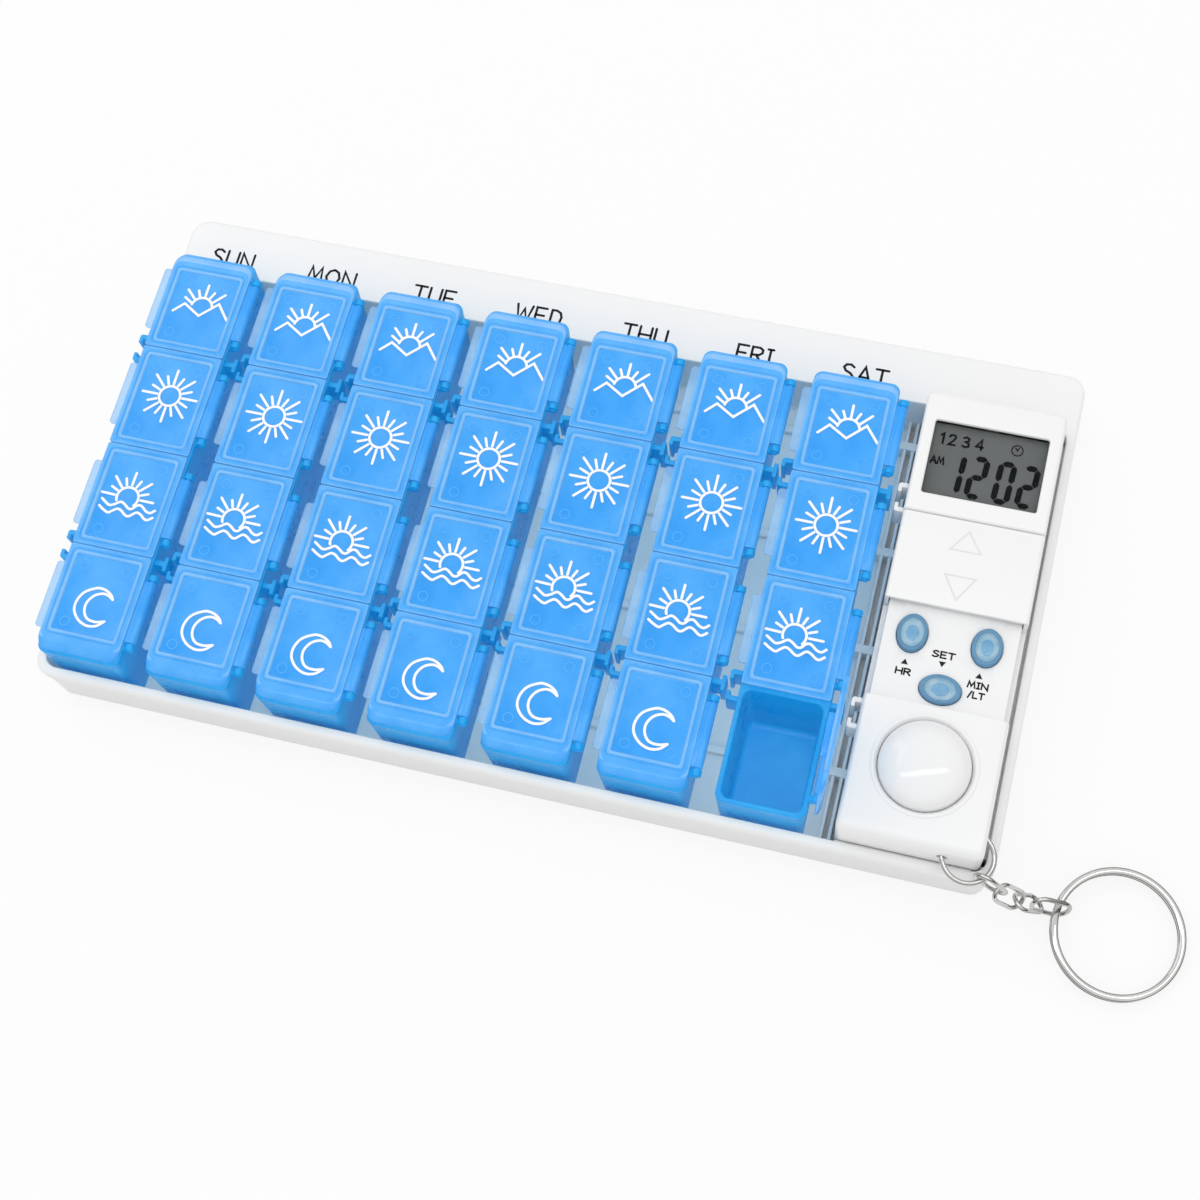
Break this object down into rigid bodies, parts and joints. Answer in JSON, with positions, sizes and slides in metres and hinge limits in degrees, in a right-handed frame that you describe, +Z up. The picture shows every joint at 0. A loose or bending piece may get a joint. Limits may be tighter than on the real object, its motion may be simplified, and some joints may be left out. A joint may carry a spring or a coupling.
{
  "type": "electronic pill organizer",
  "caption": "Weekly pill organizer: lidded strips in a tray, beside a clip-in alarm clock with display, push buttons, sliding cover and key chain.",
  "frame": {"origin": "middle of the tray's flat base, on the table", "axes": "+X along the week from the first strip to the clock, +Y towards the wide label ledge, +Z up"},
  "size_m": [0.2729, 0.1424, 0.0504],
  "materials": {
    "white_plastic": "satin white moulding",
    "blue_plastic": "translucent blue moulding",
    "button_blue": "slightly translucent blue caps",
    "dome_white": "gloss white",
    "clear_plastic": "clear lens",
    "display_grey": "grey liquid crystal glass",
    "board_green": "green resist",
    "bright_steel": "nickel plated",
    "brass": "plain",
    "lamp_red": "clear red lamp body"
  },
  "bodies": {
    "tray": {"tray": "white_plastic"},
    "sunday_strip": {"sunday_strip": "blue_plastic"},
    "sunday_morning_lid": {"sunday_morning_lid": "blue_plastic"},
    "sunday_noon_lid": {"sunday_noon_lid": "blue_plastic"},
    "sunday_evening_lid": {"sunday_evening_lid": "blue_plastic"},
    "sunday_night_lid": {"sunday_night_lid": "blue_plastic"},
    "monday_strip": {"monday_strip": "blue_plastic"},
    "monday_morning_lid": {"monday_morning_lid": "blue_plastic"},
    "monday_noon_lid": {"monday_noon_lid": "blue_plastic"},
    "monday_evening_lid": {"monday_evening_lid": "blue_plastic"},
    "monday_night_lid": {"monday_night_lid": "blue_plastic"},
    "tuesday_strip": {"tuesday_strip": "blue_plastic"},
    "tuesday_morning_lid": {"tuesday_morning_lid": "blue_plastic"},
    "tuesday_noon_lid": {"tuesday_noon_lid": "blue_plastic"},
    "tuesday_evening_lid": {"tuesday_evening_lid": "blue_plastic"},
    "tuesday_night_lid": {"tuesday_night_lid": "blue_plastic"},
    "wednesday_strip": {"wednesday_strip": "blue_plastic"},
    "wednesday_morning_lid": {"wednesday_morning_lid": "blue_plastic"},
    "wednesday_noon_lid": {"wednesday_noon_lid": "blue_plastic"},
    "wednesday_evening_lid": {"wednesday_evening_lid": "blue_plastic"},
    "wednesday_night_lid": {"wednesday_night_lid": "blue_plastic"},
    "thursday_strip": {"thursday_strip": "blue_plastic"},
    "thursday_morning_lid": {"thursday_morning_lid": "blue_plastic"},
    "thursday_noon_lid": {"thursday_noon_lid": "blue_plastic"},
    "thursday_evening_lid": {"thursday_evening_lid": "blue_plastic"},
    "thursday_night_lid": {"thursday_night_lid": "blue_plastic"},
    "friday_strip": {"friday_strip": "blue_plastic"},
    "friday_morning_lid": {"friday_morning_lid": "blue_plastic"},
    "friday_noon_lid": {"friday_noon_lid": "blue_plastic"},
    "friday_evening_lid": {"friday_evening_lid": "blue_plastic"},
    "friday_night_lid": {"friday_night_lid": "blue_plastic"},
    "saturday_strip": {"saturday_strip": "blue_plastic"},
    "saturday_morning_lid": {"saturday_morning_lid": "blue_plastic"},
    "saturday_noon_lid": {"saturday_noon_lid": "blue_plastic"},
    "saturday_evening_lid": {"saturday_evening_lid": "blue_plastic"},
    "saturday_night_lid": {"saturday_night_lid": "blue_plastic"},
    "clock": {"clock_upper_case": "white_plastic", "clock_lower_case": "white_plastic", "display_lens": "clear_plastic", "display_glass": "display_grey", "display_holder": "white_plastic", "circuit_board": "board_green", "case_screw_back": "bright_steel", "case_screw_front": "bright_steel", "buzzer": "brass", "alarm_lamp": "lamp_red", "battery_contact": "brass", "coin_cell": "bright_steel"},
    "button_cover": {"button_cover": "white_plastic"},
    "hour_button": {"hour_button": "button_blue"},
    "minute_button": {"minute_button": "button_blue"},
    "set_button": {"set_button": "button_blue"},
    "dome_button": {"dome_button": "dome_white"},
    "battery_door": {"battery_door": "white_plastic"},
    "wire_loop": {"wire_loop": "bright_steel"},
    "chain_link_1": {"chain_link_1": "bright_steel"},
    "chain_link_2": {"chain_link_2": "bright_steel"},
    "chain_link_3": {"chain_link_3": "bright_steel"},
    "chain_link_4": {"chain_link_4": "bright_steel"},
    "split_key_ring": {"split_key_ring": "bright_steel"}
  },
  "joints": [
    {"name": "sunday_strip_lift", "type": "slide", "parent": "tray", "child": "sunday_strip", "axis": [0, 0, 1], "range_m": [0, 0.03]},
    {"name": "sunday_morning_lid_hinge", "type": "hinge", "parent": "sunday_strip", "child": "sunday_morning_lid", "pos_m": [-0.0887, 0.03399, 0.0264], "axis": [0, 1, 0], "range_deg": [0, 92]},
    {"name": "sunday_noon_lid_hinge", "type": "hinge", "parent": "sunday_strip", "child": "sunday_noon_lid", "pos_m": [-0.0887, 0.00716, 0.0264], "axis": [0, 1, 0], "range_deg": [0, 92]},
    {"name": "sunday_evening_lid_hinge", "type": "hinge", "parent": "sunday_strip", "child": "sunday_evening_lid", "pos_m": [-0.0887, -0.01966, 0.0264], "axis": [0, 1, 0], "range_deg": [0, 92]},
    {"name": "sunday_night_lid_hinge", "type": "hinge", "parent": "sunday_strip", "child": "sunday_night_lid", "pos_m": [-0.0887, -0.04649, 0.0264], "axis": [0, 1, 0], "range_deg": [0, 92]},
    {"name": "monday_strip_lift", "type": "slide", "parent": "tray", "child": "monday_strip", "axis": [0, 0, 1], "range_m": [0, 0.03]},
    {"name": "monday_morning_lid_hinge", "type": "hinge", "parent": "monday_strip", "child": "monday_morning_lid", "pos_m": [-0.0617, 0.03399, 0.0264], "axis": [0, 1, 0], "range_deg": [0, 92]},
    {"name": "monday_noon_lid_hinge", "type": "hinge", "parent": "monday_strip", "child": "monday_noon_lid", "pos_m": [-0.0617, 0.00716, 0.0264], "axis": [0, 1, 0], "range_deg": [0, 92]},
    {"name": "monday_evening_lid_hinge", "type": "hinge", "parent": "monday_strip", "child": "monday_evening_lid", "pos_m": [-0.0617, -0.01966, 0.0264], "axis": [0, 1, 0], "range_deg": [0, 92]},
    {"name": "monday_night_lid_hinge", "type": "hinge", "parent": "monday_strip", "child": "monday_night_lid", "pos_m": [-0.0617, -0.04649, 0.0264], "axis": [0, 1, 0], "range_deg": [0, 92]},
    {"name": "tuesday_strip_lift", "type": "slide", "parent": "tray", "child": "tuesday_strip", "axis": [0, 0, 1], "range_m": [0, 0.03]},
    {"name": "tuesday_morning_lid_hinge", "type": "hinge", "parent": "tuesday_strip", "child": "tuesday_morning_lid", "pos_m": [-0.0347, 0.03399, 0.0264], "axis": [0, 1, 0], "range_deg": [0, 92]},
    {"name": "tuesday_noon_lid_hinge", "type": "hinge", "parent": "tuesday_strip", "child": "tuesday_noon_lid", "pos_m": [-0.0347, 0.00716, 0.0264], "axis": [0, 1, 0], "range_deg": [0, 92]},
    {"name": "tuesday_evening_lid_hinge", "type": "hinge", "parent": "tuesday_strip", "child": "tuesday_evening_lid", "pos_m": [-0.0347, -0.01966, 0.0264], "axis": [0, 1, 0], "range_deg": [0, 92]},
    {"name": "tuesday_night_lid_hinge", "type": "hinge", "parent": "tuesday_strip", "child": "tuesday_night_lid", "pos_m": [-0.0347, -0.04649, 0.0264], "axis": [0, 1, 0], "range_deg": [0, 92]},
    {"name": "wednesday_strip_lift", "type": "slide", "parent": "tray", "child": "wednesday_strip", "axis": [0, 0, 1], "range_m": [0, 0.03]},
    {"name": "wednesday_morning_lid_hinge", "type": "hinge", "parent": "wednesday_strip", "child": "wednesday_morning_lid", "pos_m": [-0.0077, 0.03399, 0.0264], "axis": [0, 1, 0], "range_deg": [0, 92]},
    {"name": "wednesday_noon_lid_hinge", "type": "hinge", "parent": "wednesday_strip", "child": "wednesday_noon_lid", "pos_m": [-0.0077, 0.00716, 0.0264], "axis": [0, 1, 0], "range_deg": [0, 92]},
    {"name": "wednesday_evening_lid_hinge", "type": "hinge", "parent": "wednesday_strip", "child": "wednesday_evening_lid", "pos_m": [-0.0077, -0.01966, 0.0264], "axis": [0, 1, 0], "range_deg": [0, 92]},
    {"name": "wednesday_night_lid_hinge", "type": "hinge", "parent": "wednesday_strip", "child": "wednesday_night_lid", "pos_m": [-0.0077, -0.04649, 0.0264], "axis": [0, 1, 0], "range_deg": [0, 92]},
    {"name": "thursday_strip_lift", "type": "slide", "parent": "tray", "child": "thursday_strip", "axis": [0, 0, 1], "range_m": [0, 0.03]},
    {"name": "thursday_morning_lid_hinge", "type": "hinge", "parent": "thursday_strip", "child": "thursday_morning_lid", "pos_m": [0.0193, 0.03399, 0.0264], "axis": [0, 1, 0], "range_deg": [0, 92]},
    {"name": "thursday_noon_lid_hinge", "type": "hinge", "parent": "thursday_strip", "child": "thursday_noon_lid", "pos_m": [0.0193, 0.00716, 0.0264], "axis": [0, 1, 0], "range_deg": [0, 92]},
    {"name": "thursday_evening_lid_hinge", "type": "hinge", "parent": "thursday_strip", "child": "thursday_evening_lid", "pos_m": [0.0193, -0.01966, 0.0264], "axis": [0, 1, 0], "range_deg": [0, 92]},
    {"name": "thursday_night_lid_hinge", "type": "hinge", "parent": "thursday_strip", "child": "thursday_night_lid", "pos_m": [0.0193, -0.04649, 0.0264], "axis": [0, 1, 0], "range_deg": [0, 92]},
    {"name": "friday_strip_lift", "type": "slide", "parent": "tray", "child": "friday_strip", "axis": [0, 0, 1], "range_m": [0, 0.03]},
    {"name": "friday_morning_lid_hinge", "type": "hinge", "parent": "friday_strip", "child": "friday_morning_lid", "pos_m": [0.0463, 0.03399, 0.0264], "axis": [0, 1, 0], "range_deg": [0, 92]},
    {"name": "friday_noon_lid_hinge", "type": "hinge", "parent": "friday_strip", "child": "friday_noon_lid", "pos_m": [0.0463, 0.00716, 0.0264], "axis": [0, 1, 0], "range_deg": [0, 92]},
    {"name": "friday_evening_lid_hinge", "type": "hinge", "parent": "friday_strip", "child": "friday_evening_lid", "pos_m": [0.0463, -0.01966, 0.0264], "axis": [0, 1, 0], "range_deg": [0, 92]},
    {"name": "friday_night_lid_hinge", "type": "hinge", "parent": "friday_strip", "child": "friday_night_lid", "pos_m": [0.0463, -0.04649, 0.0264], "axis": [0, 1, 0], "range_deg": [0, 92]},
    {"name": "saturday_strip_lift", "type": "slide", "parent": "tray", "child": "saturday_strip", "axis": [0, 0, 1], "range_m": [0, 0.03]},
    {"name": "saturday_morning_lid_hinge", "type": "hinge", "parent": "saturday_strip", "child": "saturday_morning_lid", "pos_m": [0.0733, 0.03399, 0.0264], "axis": [0, 1, 0], "range_deg": [0, 92]},
    {"name": "saturday_noon_lid_hinge", "type": "hinge", "parent": "saturday_strip", "child": "saturday_noon_lid", "pos_m": [0.0733, 0.00716, 0.0264], "axis": [0, 1, 0], "range_deg": [0, 92]},
    {"name": "saturday_evening_lid_hinge", "type": "hinge", "parent": "saturday_strip", "child": "saturday_evening_lid", "pos_m": [0.0733, -0.01966, 0.0264], "axis": [0, 1, 0], "range_deg": [0, 92]},
    {"name": "saturday_night_lid_hinge", "type": "hinge", "parent": "saturday_strip", "child": "saturday_night_lid", "pos_m": [0.0733, -0.04649, 0.0264], "axis": [0, 1, 0], "range_deg": [-92, 0]},
    {"name": "clock_lift", "type": "slide", "parent": "tray", "child": "clock", "axis": [0, 0, 1], "range_m": [0, 0.03]},
    {"name": "button_cover_slide", "type": "slide", "parent": "clock", "child": "button_cover", "axis": [0, -1, 0], "range_m": [0, 0.0234]},
    {"name": "hour_button_press", "type": "slide", "parent": "clock", "child": "hour_button", "axis": [0, 0, -1], "range_m": [0, 0.0008], "stiffness_N_per_m": 400},
    {"name": "minute_button_press", "type": "slide", "parent": "clock", "child": "minute_button", "axis": [0, 0, -1], "range_m": [0, 0.0008], "stiffness_N_per_m": 400},
    {"name": "set_button_press", "type": "slide", "parent": "clock", "child": "set_button", "axis": [0, 0, -1], "range_m": [0, 0.0008], "stiffness_N_per_m": 400},
    {"name": "dome_button_press", "type": "slide", "parent": "clock", "child": "dome_button", "axis": [0, 0, -1], "range_m": [0, 0.001], "stiffness_N_per_m": 400},
    {"name": "battery_door_slide", "type": "slide", "parent": "clock", "child": "battery_door", "axis": [0, 1, 0], "range_m": [0, 0.006]},
    {"name": "wire_loop_turn", "type": "hinge", "parent": "clock", "child": "wire_loop", "pos_m": [0.1077, -0.0592, 0.0212], "axis": [0.0984, -0.0984, 0.9903], "range_deg": [-20, 20]},
    {"name": "chain_link_1_swing", "type": "hinge", "parent": "wire_loop", "child": "chain_link_1", "pos_m": [0.11193, -0.06301, 0.0204], "axis": [-0.2079, -0.9781, 0], "range_deg": [-12, 12]},
    {"name": "chain_link_2_swing", "type": "hinge", "parent": "chain_link_1", "child": "chain_link_2", "pos_m": [0.11646, -0.06397, 0.01544], "axis": [0.6187, -0.5523, 0.5587], "range_deg": [-12, 12]},
    {"name": "chain_link_3_swing", "type": "hinge", "parent": "chain_link_2", "child": "chain_link_3", "pos_m": [0.12123, -0.0638, 0.01031], "axis": [0.5074, 0.5487, 0.6645], "range_deg": [-12, 12]},
    {"name": "chain_link_4_swing", "type": "hinge", "parent": "chain_link_3", "child": "chain_link_4", "pos_m": [0.1257, -0.06218, 0.00556], "axis": [-0.2579, 0.9178, -0.302], "range_deg": [-12, 12]},
    {"name": "split_key_ring_swing", "type": "hinge", "parent": "chain_link_4", "child": "split_key_ring", "pos_m": [0.12976, -0.06175, 0.0034], "axis": [0.1736, 0.9848, 0], "range_deg": [-12, 1]}
  ]
}
